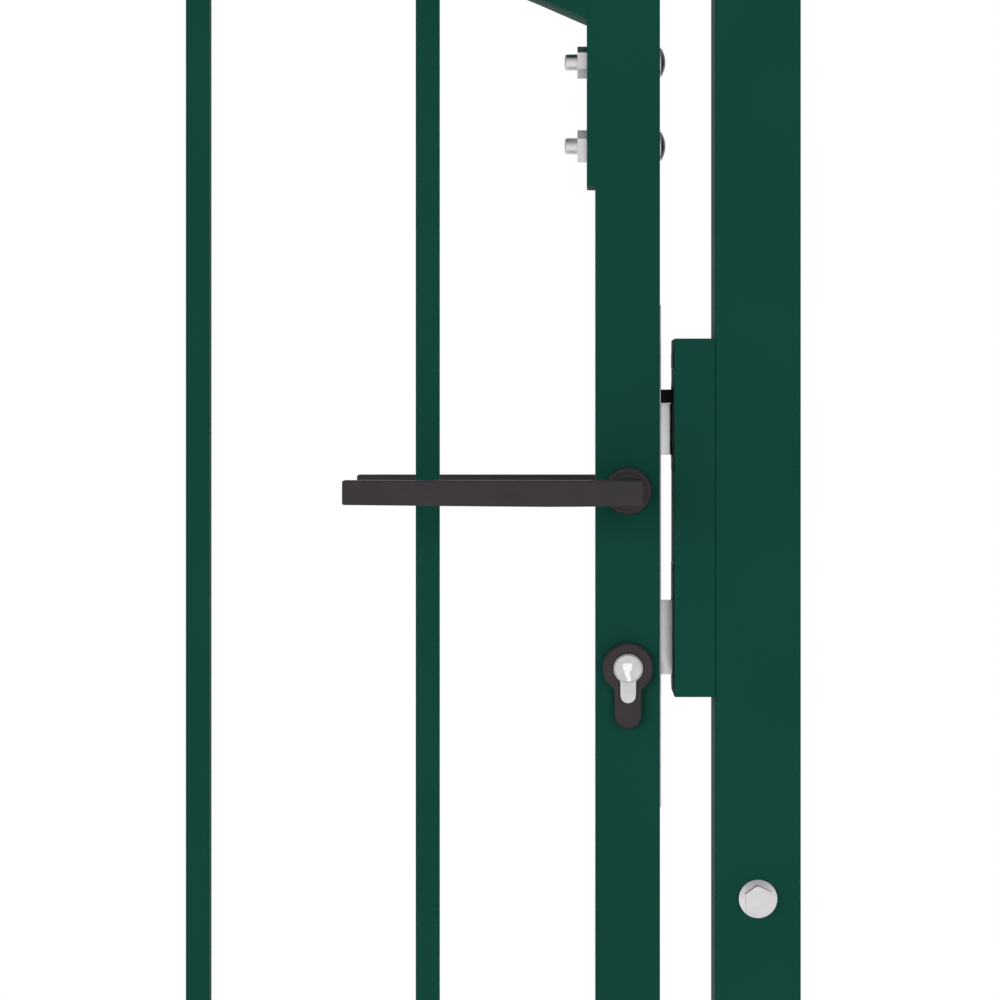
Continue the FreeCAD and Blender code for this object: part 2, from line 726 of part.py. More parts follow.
# Profile cylinder: its body runs from front to rear, and the plug turns in it.
cylinder_solid = profile_shape("CylinderSolid", "0 - cylinder_outer", "2 * cylinder_outer",
                               "head_radius", "leg_width", "leg_drop")
plug_bore = rod("PlugBore", "y", "lock_x", "0 - 2 * stile_side", "cylinder_axis",
                "plug_radius + plug_fit", "4 * stile_side")
keep_node("cylinder_body", cut("CylinderBody", cylinder_solid, plug_bore))
plug = rod("Plug", "y", "lock_x", "0 - plug_outer", "cylinder_axis", "plug_radius",
           "2 * plug_outer")
keyways = [
    block(name, "lock_x - keyway_width / 2", y, "cylinder_axis - 2 * plug_radius",
          "keyway_width", "2 * keyway_depth", "2 * plug_radius + keyway_top")
    for name, y in (("FrontKeyway", "0 - plug_outer - keyway_depth"),
                    ("RearKeyway", "plug_outer - keyway_depth"))
]
keep_node("cylinder_plug", cut("CylinderPlug", plug, *keyways))

# Keep: a folded box on the latch post, its strike face lined with a dark insert.
keep_outer = block("KeepOuter", "keep_left", "0 - post_half", "keep_low", "keep_thick",
                   "post_side", "keep_height")
keep_inner = block("KeepInner", "keep_left + keep_wall", "0 - post_half + keep_wall",
                   "keep_low + keep_wall", "keep_thick", "post_side - 2 * keep_wall",
                   "keep_height - 2 * keep_wall")
insert_window = block("InsertWindow", "keep_left - keep_wall",
                      "0 - insert_width / 2 - insert_fit", "insert_low - insert_fit",
                      "3 * keep_wall", "insert_width + 2 * insert_fit",
                      "insert_height + 2 * insert_fit")
keep_node("keep", cut("Keep", keep_outer, keep_inner, insert_window))


def strike_window(name, thick, low, height):
    """The window in the keep's insert for one of the lock's bolts."""
    return block(name, "keep_left - keep_wall", f"0 - {thick} / 2 - insert_play",
                 f"{low} - insert_play", "4 * keep_wall", f"{thick} + 2 * insert_play",
                 f"{height} + 2 * insert_play")


insert_flat = block("InsertFlat", "keep_left - insert_proud", "0 - insert_width / 2",
                    "insert_low", "insert_proud + keep_wall", "insert_width", "insert_height")
keep_node("keep_insert", cut("KeepInsert", insert_flat,
                             strike_window("StrikeLatchWindow", *LATCH_WAY),
                             strike_window("StrikeDeadWindow", *DEAD_WAY)))

doc.recompute()
os.makedirs("parts", exist_ok=True)
faults = [thing.Name for thing in doc.Objects
          if "Invalid" in thing.State or "Error" in thing.State]
for label, thing in nodes:
    if thing.Shape.isNull() or not thing.Shape.isValid() or not thing.Shape.Solids:
        faults.append(label)
if faults:
    raise RuntimeError("These objects failed: " + ", ".join(faults))
for label, thing in nodes:
    thing.Shape.exportStep(f"parts/{label}.step")
    print(label, len(thing.Shape.Solids), round(thing.Shape.Volume, 1))
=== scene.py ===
import json
import math

import bpy
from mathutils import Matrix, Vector


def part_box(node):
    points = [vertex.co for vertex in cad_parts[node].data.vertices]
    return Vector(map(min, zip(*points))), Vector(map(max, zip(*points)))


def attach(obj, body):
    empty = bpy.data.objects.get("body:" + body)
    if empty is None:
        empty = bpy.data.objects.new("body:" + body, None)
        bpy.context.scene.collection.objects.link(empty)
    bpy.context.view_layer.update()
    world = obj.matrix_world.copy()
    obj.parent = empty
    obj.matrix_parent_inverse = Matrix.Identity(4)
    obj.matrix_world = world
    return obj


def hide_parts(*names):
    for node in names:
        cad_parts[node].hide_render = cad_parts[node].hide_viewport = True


# The gate: two posts, an arched leaf of welded bars, a lock with levers and the keep beside it.
# Its solids come in already in place, in metres, and everything made here is set against them.
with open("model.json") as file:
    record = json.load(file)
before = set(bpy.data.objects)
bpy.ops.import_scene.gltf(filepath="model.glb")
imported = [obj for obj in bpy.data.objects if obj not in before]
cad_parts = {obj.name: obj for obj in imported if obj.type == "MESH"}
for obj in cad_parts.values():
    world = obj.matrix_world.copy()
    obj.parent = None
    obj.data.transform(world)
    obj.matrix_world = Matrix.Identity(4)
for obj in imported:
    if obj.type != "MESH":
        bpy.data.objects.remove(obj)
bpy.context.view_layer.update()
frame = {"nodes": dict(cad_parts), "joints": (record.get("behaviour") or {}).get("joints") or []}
nodes = frame["nodes"]
bpy.context.scene.view_settings.view_transform = "Standard"

# The picture: a long lens level with the lock, looking straight at the front of the gate.
CAMERA_PLACE = (0.8893, -1.515, 0.9434)
CAMERA_LENS = 115.7
CAMERA_SHIFT = (-0.06, -0.102)
SENSOR_WIDTH = 36
bpy.ops.object.camera_add(location=CAMERA_PLACE, rotation=(math.radians(90), 0, 0))
camera = bpy.context.object
camera.data.lens = CAMERA_LENS
camera.data.sensor_width = SENSOR_WIDTH
camera.data.shift_x, camera.data.shift_y = CAMERA_SHIFT
bpy.context.scene.camera = camera


def linear(colour):
    """Turn an sRGB hex colour into the linear values that a shader takes."""
    channels = [int(colour[n:n + 2], 16) / 255 for n in (1, 3, 5)]
    curve = [c / 12.92 if c <= 0.04045 else ((c + 0.055) / 1.055) ** 2.4 for c in channels]
    return (*curve, 1)


def add_node(tree, kind, inputs=None, **settings):
    """Add one node with its settings, and give each input a value or a link."""
    node = tree.nodes.new(kind)
    for name, value in settings.items():
        setattr(node, name, value)
    for name, value in (inputs or {}).items():
        if isinstance(value, bpy.types.NodeSocket):
            tree.links.new(value, node.inputs[name])
        else:
            node.inputs[name].default_value = value
    return node


# The studio: the eye sees a plain white room. Gloss and glass see it too, dimmer high up where the
# ceiling is. Its own light is soft, and three wide lamps that gloss doesn't show add the rest.
ROOM_LIGHT = 0.5
CEILING_SHEEN = 0.4
CEILING_FROM, CEILING_TO = 0.1, 0.8
room = bpy.data.worlds.new("white_studio")
room.use_nodes = True
room.node_tree.nodes.clear()
bpy.context.scene.world = room
rays = add_node(room.node_tree, "ShaderNodeLightPath")
shine = add_node(room.node_tree, "ShaderNodeMath", operation="MAXIMUM",
                 inputs={0: rays.outputs["Is Glossy Ray"], 1: rays.outputs["Is Transmission Ray"]})
way_seen = add_node(room.node_tree, "ShaderNodeTexCoord")
height_seen = add_node(room.node_tree, "ShaderNodeSeparateXYZ",
                       inputs={"Vector": way_seen.outputs["Generated"]})
ceiling = add_node(room.node_tree, "ShaderNodeMapRange",
                   inputs={"Value": height_seen.outputs["Z"], "From Min": CEILING_FROM,
                           "From Max": CEILING_TO, "To Min": 1, "To Max": CEILING_SHEEN})
level = add_node(room.node_tree, "ShaderNodeMix", data_type="FLOAT",
                 inputs={0: shine.outputs[0], 2: ROOM_LIGHT, 3: ceiling.outputs[0]})
level = add_node(room.node_tree, "ShaderNodeMix", data_type="FLOAT",
                 inputs={0: rays.outputs["Is Camera Ray"], 2: level.outputs[0], 3: 1})
walls = add_node(room.node_tree, "ShaderNodeBackground",
                 inputs={"Color": linear("#FFFFFF"), "Strength": level.outputs[0]})
add_node(room.node_tree, "ShaderNodeOutputWorld", inputs={"Surface": walls.outputs[0]})

LAMPS = (("key_lamp", (-1.2, -3.2, 1.3), 2.2, 46), ("fill_lamp", (2.4, -2.8, 1.2), 2, 20),
         ("back_lamp", (0.4, 3.4, 1.6), 2.4, 52))
LAMP_AIM = Vector((0.5, 0, 0.75))
for name, place, width, watts in LAMPS:
    turn = (LAMP_AIM - Vector(place)).to_track_quat("-Z", "Y").to_euler()
    bpy.ops.object.light_add(type="AREA", location=place, rotation=turn)
    lamp = bpy.context.object
    lamp.name = name
    lamp.data.size = width
    lamp.data.energy = watts
    lamp.visible_glossy = False

# The floor: a wide board painted matt white, chalky and without gloss. Where the eye, gloss or
# glass sees it, it is lifted towards the white of the room, and it keeps the gate's shadow.
FLOOR_SIDE = 6.4
FLOOR_MIDDLE = (0.5, 0, 0)
FLOOR_ROUGHNESS = 0.9
FLOOR_LIFT = 0.35
bpy.ops.object.select_all(action="DESELECT")
bpy.ops.mesh.primitive_plane_add(size=FLOOR_SIDE, location=FLOOR_MIDDLE)
floor = bpy.context.object
floor.name = "floor"
floor_paint = bpy.data.materials.new("matt_white_paint")
floor_paint.use_nodes = True
floor_shader = floor_paint.node_tree.nodes["Principled BSDF"]
floor_shader.inputs["Base Color"].default_value = linear("#F3F3F1")
floor_shader.inputs["Roughness"].default_value = FLOOR_ROUGHNESS
floor_rays = add_node(floor_paint.node_tree, "ShaderNodeLightPath")
seen = floor_rays.outputs["Is Camera Ray"]
for way in ("Is Glossy Ray", "Is Transmission Ray"):
    seen = add_node(floor_paint.node_tree, "ShaderNodeMath", operation="MAXIMUM",
                    inputs={0: seen, 1: floor_rays.outputs[way]}).outputs[0]
lifted = add_node(floor_paint.node_tree, "ShaderNodeMath", operation="MULTIPLY",
                  inputs={0: seen, 1: FLOOR_LIFT})
floor_shader.inputs["Emission Color"].default_value = linear("#FFFFFF")
floor_paint.node_tree.links.new(lifted.outputs[0], floor_shader.inputs["Emission Strength"])
floor.data.materials.append(floor_paint)


def new_finish(name, metallic, roughness, level=0.5):
    """Start a material: its plain numbers sit on the shader, and its patterns read the place."""
    finish = bpy.data.materials.new(name)
    finish.use_nodes = True
    shader = finish.node_tree.nodes["Principled BSDF"]
    shader.inputs["Metallic"].default_value = metallic
    shader.inputs["Roughness"].default_value = roughness
    shader.inputs["Specular IOR Level"].default_value = level
    place = add_node(finish.node_tree, "ShaderNodeTexCoord").outputs["Object"]
    return finish, finish.node_tree, shader, place


# Tubes, plates and bars: mild steel, welded, then sprayed with polyester powder and baked.
# Baked powder is one dark green all over, satin, with a faint orange peel where it melted.
# The sizes of its patches and of its peel are in millimetres, as all pattern sizes below are.
COAT_DARK, COAT_LIGHT = "#0D3E34", "#11483D"
PATCH = 80
PEEL = 2.6
PEEL_HEIGHT = 0.00001
powder_coat, tree, shader, place = new_finish(
    "polyester_powder_coat", metallic=0, roughness=0.7, level=0.06)
patches = add_node(tree, "ShaderNodeTexNoise",
                   inputs={"Vector": place, "Scale": 1000 / PATCH, "Detail": 1})
shade = add_node(tree, "ShaderNodeMix", data_type="RGBA",
                 inputs={0: patches.outputs[0], 6: linear(COAT_DARK), 7: linear(COAT_LIGHT)})
peel = add_node(tree, "ShaderNodeTexNoise",
                inputs={"Vector": place, "Scale": 1000 / PEEL, "Detail": 1})
bump = add_node(tree, "ShaderNodeBump",
                inputs={"Height": peel.outputs[0], "Distance": PEEL_HEIGHT, "Strength": 1})
tree.links.new(shade.outputs[2], shader.inputs["Base Color"])
tree.links.new(bump.outputs[0], shader.inputs["Normal"])


def coat(piece, finish):
    """Give a piece one finish and no other."""
    piece.data.materials.clear()
    piece.data.materials.append(finish)


def open_piece(piece, kind, test):
    """Open a piece for editing with just those faces, edges or points selected that pass."""
    bpy.ops.object.select_all(action="DESELECT")
    bpy.context.view_layer.objects.active = piece
    piece.select_set(True)
    bpy.ops.object.mode_set(mode="EDIT")
    bpy.ops.mesh.select_mode(type=kind)
    bpy.ops.mesh.select_all(action="DESELECT")
    bpy.ops.object.mode_set(mode="OBJECT")
    points = piece.data.vertices
    if kind == "FACE":
        for face in piece.data.polygons:
            face.select = test(face.center, face.normal)
    elif kind == "EDGE":
        for edge in piece.data.edges:
            edge.select = test(*(points[n].co for n in edge.vertices))
    else:
        for point in points:
            point.select = test(point.co)
    bpy.ops.object.mode_set(mode="EDIT")


def close_piece():
    """Leave edit mode."""
    bpy.ops.object.mode_set(mode="OBJECT")


def everything(*parts):
    """Pass every face, edge or point."""
    return True


def soften(piece, test, width, segments=3):
    """Round the edges that pass a test."""
    open_piece(piece, "EDGE", test)
    bpy.ops.mesh.bevel(offset=width, segments=segments, affect="EDGES", clamp_overlap=False)
    close_piece()


TOUCHING = 0.00001
FLAT_ANGLE = 0.6
SMOOTH_ANGLE = 24


def merged_copy(node, name):
    """A copy of a node of its own, its loose triangles merged into whole faces."""
    piece = bpy.data.objects.new(name, nodes[node].data.copy())
    bpy.context.collection.objects.link(piece)
    open_piece(piece, "FACE", everything)
    bpy.ops.mesh.remove_doubles(threshold=TOUCHING)
    bpy.ops.mesh.dissolve_limited(angle_limit=math.radians(FLAT_ANGLE))
    close_piece()
    return piece


def finish_piece(piece, name, body, finish, replaced=()):
    """Name, coat and shade a piece, and let it ride on its body."""
    bpy.ops.object.select_all(action="DESELECT")
    bpy.context.view_layer.objects.active = piece
    piece.select_set(True)
    bpy.ops.object.shade_smooth_by_angle(angle=math.radians(SMOOTH_ANGLE))
    piece.name = name
    coat(piece, finish)
    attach(piece, body)
    if replaced:
        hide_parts(*replaced)


COATED = ["hinge_post", "latch_post", "hinge_stile", "lock_stile", "bottom_rail"]
bars = [name for name in nodes if name.startswith("bar_")]
for name in COATED + bars:
    coat(nodes[name], powder_coat)

# Top rail and end plates: square tube bent to an arch, and flat steel welded over the rails' ends
# and bolted to the stiles. The coat rounds their outer corners, and each plate beds in its stile.
EDGE = 0.0006
SEAM = 0.001
HAIR = 0.00002
rail_low, rail_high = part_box("top_rail")
rail = merged_copy("top_rail", "arched_rail")


def long_corner(start, end):
    """Is this edge one of the rail's long outer corners?"""
    beside = abs(start.y - end.y) < HAIR and abs(abs(start.y) - rail_high.y) < HAIR
    return beside and abs(start.x - end.x) > HAIR


soften(rail, long_corner, EDGE)
finish_piece(rail, "arched_rail", "leaf", powder_coat, ["top_rail"])
for name in ("top_hinge_plate", "top_lock_plate", "bottom_hinge_plate", "bottom_lock_plate"):
    low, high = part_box(name)
    free_x, stile_x, inward = (high.x, low.x, 1) if "hinge" in name else (low.x, high.x, -1)
    plate = merged_copy(name, name + "_flat")
    open_piece(plate, "VERT", lambda p: abs(p.x - stile_x) < HAIR)
    bpy.ops.transform.translate(value=(-inward * SEAM, 0, 0))
    close_piece()
    soften(plate, lambda *ends: all(
        abs(p.x - free_x) < HAIR
        and min(abs(p.z - low.z), abs(p.z - high.z), abs(abs(p.y) - high.y)) < HAIR
        for p in ends), EDGE)
    finish_piece(plate, name + "_flat", "leaf", powder_coat, [name])


def block(low, high):
    """A block between two corners, its place in its mesh."""
    low, high = Vector(low), Vector(high)
    bpy.ops.object.select_all(action="DESELECT")
    bpy.ops.mesh.primitive_cube_add(size=1, location=(low + high) / 2)
    piece = bpy.context.object
    piece.scale = high - low
    bpy.ops.object.transform_apply(location=True, rotation=True, scale=True)
    return piece


SHARP = 35


def round_edges(piece, width, segments=3):
    """Round each sharp edge."""
    bpy.context.view_layer.objects.active = piece
    bevel = piece.modifiers.new("broken_edges", "BEVEL")
    bevel.width = width
    bevel.segments = segments
    bevel.limit_method = "ANGLE"
    bevel.angle_limit = math.radians(SHARP)
    bevel.use_clamp_overlap = False
    bpy.ops.object.modifier_apply(modifier=bevel.name)


# Tube caps: black polyethylene, moulded with a soft rim round a shallow dish, and pressed into
# the open top of each post and stile on a plug. Moulded plastic is near black, with a dull sheen
# and the fine grain of its mould.
CAP_LID = 0.003
CAP_RIM = 0.0025
CAP_DISH = 0.0006
CAP_EDGE = 0.0009
CAP_PLUG_INSET = 0.0017
UPRIGHT = 0.999
PLASTIC_DARK, PLASTIC_LIGHT = "#040606", "#0D1010"
CLOUD = 33.33
SPARK = 0.8
SPARK_HEIGHT = 0.00001
black_plastic, tree, shader, place = new_finish(
    "moulded_polyethylene", metallic=0, roughness=0.5, level=0.12)
cloud = add_node(tree, "ShaderNodeTexNoise",
                 inputs={"Vector": place, "Scale": 1000 / CLOUD, "Detail": 2})
shade = add_node(tree, "ShaderNodeMix", data_type="RGBA",
                 inputs={0: cloud.outputs[0], 6: linear(PLASTIC_DARK), 7: linear(PLASTIC_LIGHT)})
spark = add_node(tree, "ShaderNodeTexNoise",
                 inputs={"Vector": place, "Scale": 1000 / SPARK, "Detail": 1})
bump = add_node(tree, "ShaderNodeBump",
                inputs={"Height": spark.outputs[0], "Distance": SPARK_HEIGHT, "Strength": 1})
tree.links.new(shade.outputs[2], shader.inputs["Base Color"])
tree.links.new(bump.outputs[0], shader.inputs["Normal"])
for owner, body in (("hinge_post", "posts"), ("latch_post", "posts"), ("hinge_stile", "leaf"),
                    ("lock_stile", "leaf")):
    low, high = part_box(owner + "_cap")
    lid_z = high.z - CAP_LID
    cap = block((low.x, low.y, lid_z), high)
    soften(cap, lambda *ends: max(p.z for p in ends) > high.z - HAIR, CAP_EDGE, 4)
    open_piece(cap, "FACE", lambda middle, normal: normal.z < -UPRIGHT)
    bpy.ops.mesh.inset(thickness=CAP_PLUG_INSET)
    bpy.ops.mesh.extrude_region_move(TRANSFORM_OT_translate={"value": (0, 0, low.z - lid_z)})
    close_piece()
    open_piece(cap, "FACE", lambda middle, normal: normal.z > UPRIGHT)
    bpy.ops.mesh.inset(thickness=CAP_RIM)
    bpy.ops.mesh.inset(thickness=CAP_DISH, depth=-CAP_DISH)
    close_piece()
    finish_piece(cap, owner + "_moulded_cap", body, black_plastic,
                 [owner + "_cap"])


SEED = 0.001
SAME_POINT = 0.000001


def turned(profile, steps=48):
    """A turned solid about the Z axis, from the radius and height of each corner."""
    bpy.ops.object.select_all(action="DESELECT")
    bpy.ops.mesh.primitive_plane_add(size=SEED)
    piece = bpy.context.object
    bpy.ops.object.mode_set(mode="EDIT")
    bpy.ops.mesh.select_mode(type="VERT")
    bpy.ops.mesh.select_all(action="SELECT")
    bpy.ops.mesh.merge(type="CENTER")
    bpy.ops.transform.translate(value=(profile[0][0], 0, profile[0][1]))
    for start, end in zip(profile, profile[1:]):
        step = (end[0] - start[0], 0, end[1] - start[1])
        bpy.ops.mesh.extrude_region_move(TRANSFORM_OT_translate={"value": step})
    bpy.ops.mesh.select_all(action="SELECT")
    bpy.ops.mesh.spin(steps=steps, angle=math.tau, center=(0, 0, 0), axis=(0, 0, 1))
    bpy.ops.mesh.select_all(action="SELECT")
    bpy.ops.mesh.remove_doubles(threshold=SAME_POINT)
    bpy.ops.mesh.normals_make_consistent(inside=False)
    bpy.ops.object.mode_set(mode="OBJECT")
    return piece


def arc(centre, radius, start, end, steps=6):
    """Corners along an arc of the profile, its angles in degrees from the outward line."""
    angles = [math.radians(start + (end - start) * n / steps) for n in range(steps + 1)]
    return [(centre[0] + radius * math.cos(a), centre[1] + radius * math.sin(a)) for a in angles]


def meet(piece, tool, how):
    """Cut or trim a piece with another solid, which is used up."""
    bpy.context.view_layer.objects.active = piece
    trim = piece.modifiers.new("trim", "BOOLEAN")
    trim.operation = how
    trim.solver = "EXACT"
    trim.object = tool
    bpy.ops.object.modifier_apply(modifier=trim.name)
    bpy.data.objects.remove(tool)
    return piece


HEX_SLOPE = math.radians(30)
PAST_CORNERS = 1.02


def hexagon(radius, height, turn=0, chamfer=0.5):
    """A hexagonal nut or head from Z = 0 up, a corner along Y, its corners turned down."""
    bpy.ops.object.select_all(action="DESELECT")
    bpy.ops.mesh.primitive_cylinder_add(vertices=6, radius=radius, depth=height,
                                        location=(0, 0, height / 2),
                                        rotation=(0, 0, math.radians(turn)))
    prism = bpy.context.object
    bpy.ops.object.transform_apply(location=True, rotation=True, scale=True)
    flat = radius * math.cos(HEX_SLOPE)
    fall = (radius - flat) * chamfer
    wide = radius * PAST_CORNERS
    slope = (wide - radius + fall) * math.tan(HEX_SLOPE)
    trim = turned([(0, 0), (radius - fall, 0), (wide, slope), (wide, height - slope),
                   (radius - fall, height), (0, height)])
    return meet(prism, trim, "INTERSECT")


def joined(*pieces):
    """Join pieces into one."""
    bpy.ops.object.select_all(action="DESELECT")
    for piece in pieces:
        piece.select_set(True)
    bpy.context.view_layer.objects.active = pieces[0]
    bpy.ops.object.join()
    return pieces[0]


TURNS = {"x": (0, 90, 0), "-x": (0, -90, 0), "y": (-90, 0, 0), "-y": (90, 0, 0), "z": (0, 0, 0)}


def lay(piece, axis, place):
    """Turn a piece's own Z along an axis and set it down at a place, its place in its mesh."""
    bpy.ops.object.select_all(action="DESELECT")
    bpy.context.view_layer.objects.active = piece
    piece.select_set(True)
    piece.rotation_euler = [math.radians(a) for a in TURNS[axis]]
    piece.location = place
    bpy.ops.object.transform_apply(location=True, rotation=True, scale=True)
    return piece


TIP_WIDTH = 0.8


def threaded(radius, length, pitch, depth=0.00022):
    """A bolt's end from Z = 0 up, with shallow thread rings and a chamfered tip."""
    plain_end = radius / 4
    tip = radius / 6
    rings = int((length - plain_end) / pitch)
    profile = [(0, 0), (radius - depth, 0)]
    for ring in range(rings):
        profile.append((radius, (ring + 0.5) * pitch))
        profile.append((radius - depth, (ring + 1) * pitch))
    profile += [(radius - depth, length - tip), (radius * TIP_WIDTH, length), (0, length)]
    return turned(profile, steps=32)


# Bolts through the posts: zinc plated M8 flange bolts. A hexagon head stands on a wide flange in
# front, and a plain nut and the bolt's end show behind. Electroplated zinc is a pale silvery grey,
# a little cloudy, brighter and duller in patches, with fine pits.
FLANGE = 0.009
FLANGE_THICK = 0.002
FLANGE_RIM = 0.0009
FLANGE_ROUND = 0.0003
POST_HEAD = 0.007
POST_HEAD_HIGH = 0.005
POST_HEAD_TURN = 5
HEAD_FOOT = 0.9
POST_NUT_THICK = 0.007
POST_NUT_TURN = 4
POST_SHANK = 0.04
M8 = 0.004
M8_PITCH = 0.00125
ZINC_DARK, ZINC_LIGHT = "#CAC7CA", "#DFDCDF"
ZINC_NOISE = (0.3, 0.7)
ZINC_DULLNESS = (0.24, 0.36)
SPANGLE = 5
PITS = 0.7
PIT_HEIGHT = 0.000004
zinc, tree, shader, place = new_finish("zinc_plate", metallic=1, roughness=0.34)
spangle = add_node(tree, "ShaderNodeTexNoise",
                   inputs={"Vector": place, "Scale": 1000 / SPANGLE, "Detail": 4})
shade = add_node(tree, "ShaderNodeMix", data_type="RGBA",
                 inputs={0: spangle.outputs[0], 6: linear(ZINC_DARK), 7: linear(ZINC_LIGHT)})
dull = add_node(tree, "ShaderNodeMapRange",
                inputs={"Value": spangle.outputs[0],
                        "From Min": ZINC_NOISE[0], "From Max": ZINC_NOISE[1],
                        "To Min": ZINC_DULLNESS[0], "To Max": ZINC_DULLNESS[1]})
pits = add_node(tree, "ShaderNodeTexNoise",
                inputs={"Vector": place, "Scale": 1000 / PITS, "Detail": 2})
bump = add_node(tree, "ShaderNodeBump",
                inputs={"Height": pits.outputs[0], "Distance": PIT_HEIGHT, "Strength": 1})
tree.links.new(shade.outputs[2], shader.inputs["Base Color"])
tree.links.new(dull.outputs[0], shader.inputs["Roughness"])
tree.links.new(bump.outputs[0], shader.inputs["Normal"])
for owner in ("hinge_post", "latch_post"):
    low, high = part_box(owner + "_bolt")
    post_low, post_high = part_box(owner)
    x, z = (low.x + high.x) / 2, (low.z + high.z) / 2
    rim = (FLANGE - FLANGE_ROUND, FLANGE_RIM - FLANGE_ROUND)
    flange = turned([(0, 0), (FLANGE, 0), (FLANGE, rim[1]), *arc(rim, FLANGE_ROUND, 0, 70, 3),
                     (POST_HEAD * HEAD_FOOT, FLANGE_THICK), (0, FLANGE_THICK)])
    head = lay(hexagon(POST_HEAD, POST_HEAD_HIGH, POST_HEAD_TURN), "z", (0, 0, FLANGE_THICK))
    front = lay(joined(flange, head), "-y", (x, post_low.y, z))
    nut = lay(hexagon(POST_HEAD, POST_NUT_THICK, POST_NUT_TURN), "y", (x, post_high.y, z))
    end = lay(threaded(M8, high.y - post_high.y, M8_PITCH), "y", (x, post_high.y, z))
    shank = turned([(0, 0), (M8, 0), (M8, POST_SHANK), (0, POST_SHANK)])
    shank = lay(shank, "y", (x, post_low.y, z))
    finish_piece(joined(front, nut, end, shank), owner + "_flange_bolt", "posts", zinc,
                 [owner + "_bolt"])

# Frame bolts: M8 cup-head bolts in pairs through stile and end plate. The domed heads lie against
# the stile's outer side, and zinc plated nuts hold them inside the frame. The heads are blackened
# steel, nearly black with a slight gleam from the scale. Their black is partly painted dark
# reflection, and their cool green cast is a painted reflection of the green coat beside them.
DOME = 0.007
DOME_RISE = 0.003
DOME_LIP = 0.0008
NUT = 0.0076
NUT_THICK = 0.0045
THREAD_END = 0.006
NUT_TURNS = {"high": 2, "low": -6}
NUT_CHAMFER = 0.3
FINE_THREAD = 0.00012
# Painted reflection in both shades: darker for the dark the heads mirror, green for the coat.
BLACKED_AND_REFLECTION_DARK, BLACKED_AND_REFLECTION_LIGHT = "#14201F", "#212C2B"
SCALE = 4
SCALE_HEIGHT = 0.000003
cap_with_painted_reflection, tree, shader, place = new_finish(
    "blackened_steel_and_painted_reflection", metallic=0.2, roughness=0.3, level=0.25)
scale = add_node(tree, "ShaderNodeTexNoise",
                 inputs={"Vector": place, "Scale": 1000 / SCALE, "Detail": 3})
shade = add_node(tree, "ShaderNodeMix", data_type="RGBA",
                 inputs={0: scale.outputs[0], 6: linear(BLACKED_AND_REFLECTION_DARK), 7: linear(BLACKED_AND_REFLECTION_LIGHT)})
bump = add_node(tree, "ShaderNodeBump",
                inputs={"Height": scale.outputs[0], "Distance": SCALE_HEIGHT, "Strength": 1})
tree.links.new(shade.outputs[2], shader.inputs["Base Color"])
tree.links.new(bump.outputs[0], shader.inputs["Normal"])
dome_ball = (DOME ** 2 / (DOME_RISE - DOME_LIP) + DOME_RISE - DOME_LIP) / 2
dome_edge = math.degrees(math.acos(DOME / dome_ball))
for level in ("top", "bottom"):
    for side in ("hinge", "lock"):
        low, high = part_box(f"{level}_{side}_bolts")
        ways = {"hinge": ("-x", "x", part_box("hinge_stile")[0].x, high.x - THREAD_END - NUT_THICK),
                "lock": ("x", "-x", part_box("lock_stile")[1].x, low.x + THREAD_END + NUT_THICK)}
        head_way, nut_way, head_x, nut_x = ways[side]
        heads = []
        nuts = []
        for which, z in (("high", high.z - NUT), ("low", low.z + NUT)):
            lip = turned([(0, 0), (DOME, 0), (DOME, DOME_LIP), (0, DOME_LIP)])
            nuts.append(lay(lip, head_way, (head_x, 0, z)))
            dome = turned([(0, DOME_LIP), (DOME, DOME_LIP),
                           *arc((0, DOME_RISE - dome_ball), dome_ball, dome_edge, 90, 8),
                           (0, DOME_LIP)])
            heads.append(lay(dome, head_way, (head_x, 0, z)))
            nut = hexagon(NUT, NUT_THICK, 90 + NUT_TURNS[which], NUT_CHAMFER)
            nuts.append(lay(nut, nut_way, (nut_x, 0, z)))
            end = threaded(M8, NUT_THICK + THREAD_END, M8_PITCH, FINE_THREAD)
            nuts.append(lay(end, nut_way, (nut_x, 0, z)))
        finish_piece(joined(*heads), f"{level}_{side}_cup_heads", "leaf",
                     cap_with_painted_reflection)
        finish_piece(joined(*nuts), f"{level}_{side}_nuts", "leaf", zinc,
                     [f"{level}_{side}_bolts"])

